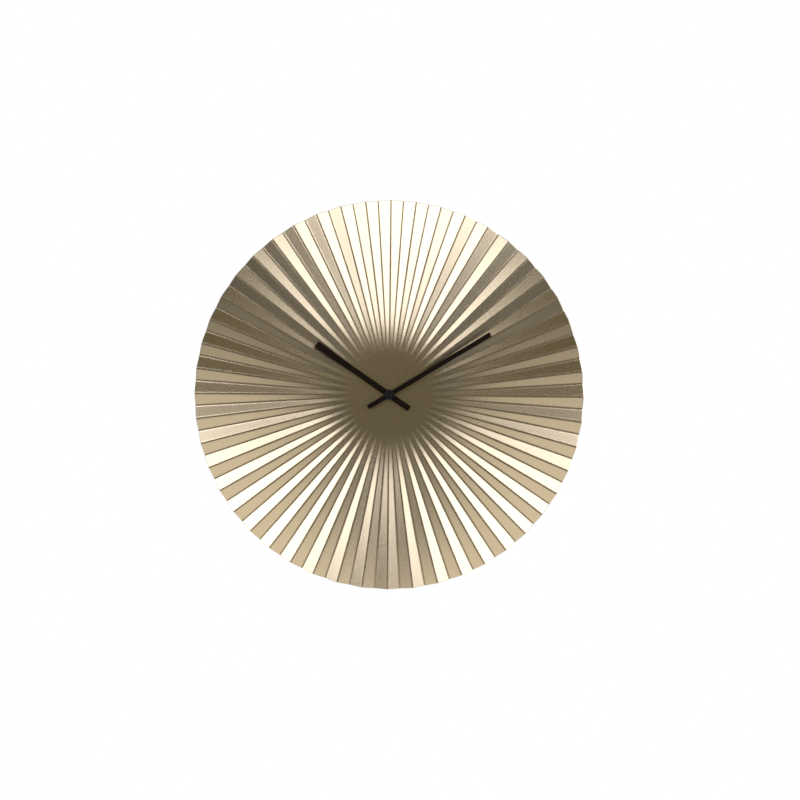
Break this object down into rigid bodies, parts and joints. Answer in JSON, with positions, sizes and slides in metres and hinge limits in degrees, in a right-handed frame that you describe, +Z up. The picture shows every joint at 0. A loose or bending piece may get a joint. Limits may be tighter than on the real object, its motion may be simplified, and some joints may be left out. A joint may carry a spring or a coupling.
{
  "type": "sunburst wall clock",
  "caption": "Round wall clock with a radially pleated sheet-metal dial, plain baton hands and a battery quartz movement behind it.",
  "frame": {"origin": "where the hands' axis meets the wall, on the flat rear face of the movement's rear cover", "axes": "+X to the right seen from the front, +Y into the wall so that the dial faces -Y, +Z up towards 12 o'clock"},
  "size_m": [0.4, 0.0279, 0.4],
  "materials": {
    "champagne_metal": "satin champagne anodised",
    "black_metal": "satin black",
    "black_plastic": "fine moulded texture",
    "white_plastic": "moulded",
    "brass": "machined",
    "steel": "zinc plated",
    "copper": "enamelled wire",
    "magnet": "sintered",
    "rubber": "matt",
    "board": "solder mask",
    "cell": "plain printed sleeve"
  },
  "bodies": {
    "root": {"pleated_dial": "champagne_metal", "hex_nut": "black_metal", "brass_washer": "brass", "rubber_washer": "rubber", "threaded_bushing": "brass", "hanger_bracket": "steel", "movement_case": "black_plastic", "rear_cover": "black_plastic", "train_plate": "white_plastic", "rotor_bridge": "white_plastic", "stator_plate": "steel", "coil_core": "steel", "coil_bobbin": "white_plastic", "coil_winding": "copper", "circuit_board": "board", "timer_chip": "black_plastic", "quartz_crystal": "steel", "battery_cell": "cell", "contact_positive": "steel", "contact_negative": "steel"},
    "minute": {"minute_hand": "black_metal", "centre_cap": "black_metal", "minute_pipe": "brass", "centre_wheel": "white_plastic"},
    "hour": {"hour_hand": "black_metal", "hour_wheel": "white_plastic"},
    "motion": {"motion_wheel": "white_plastic", "setting_knob": "white_plastic"},
    "third": {"third_wheel": "white_plastic"},
    "seconds": {"seconds_wheel": "white_plastic"},
    "fifth": {"fifth_wheel": "white_plastic"},
    "rotor": {"rotor_pinion": "white_plastic", "rotor_magnet": "magnet"}
  },
  "joints": [
    {"name": "minute_turn", "type": "hinge", "parent": "root", "child": "minute", "pos_m": [0, 0, 0], "axis": [0, 1, 0], "continuous": true},
    {"name": "hour_turn", "type": "hinge", "parent": "root", "child": "hour", "pos_m": [0, 0, 0], "axis": [0, 1, 0], "continuous": true},
    {"name": "motion_turn", "type": "hinge", "parent": "root", "child": "motion", "pos_m": [0.0096, 0, 0], "axis": [0, 1, 0], "continuous": true},
    {"name": "third_turn", "type": "hinge", "parent": "root", "child": "third", "pos_m": [-0.0081, 0, 0], "axis": [0, 1, 0], "continuous": true},
    {"name": "seconds_turn", "type": "hinge", "parent": "root", "child": "seconds", "pos_m": [0, 0, 0], "axis": [0, 1, 0], "continuous": true},
    {"name": "fifth_turn", "type": "hinge", "parent": "root", "child": "fifth", "pos_m": [0, 0, 0.00735], "axis": [0, 1, 0], "continuous": true},
    {"name": "rotor_turn", "type": "hinge", "parent": "root", "child": "rotor", "pos_m": [0.00315, 0, 0.0128], "axis": [0, 1, 0], "continuous": true}
  ],
  "couplings": [
    {"joint": "hour_turn", "follows": "minute_turn", "ratio": 0.083333},
    {"joint": "motion_turn", "follows": "minute_turn", "ratio": -0.33333},
    {"joint": "third_turn", "follows": "minute_turn", "ratio": -7.5},
    {"joint": "seconds_turn", "follows": "minute_turn", "ratio": 60},
    {"joint": "fifth_turn", "follows": "minute_turn", "ratio": -360},
    {"joint": "rotor_turn", "follows": "minute_turn", "ratio": 1800}
  ]
}
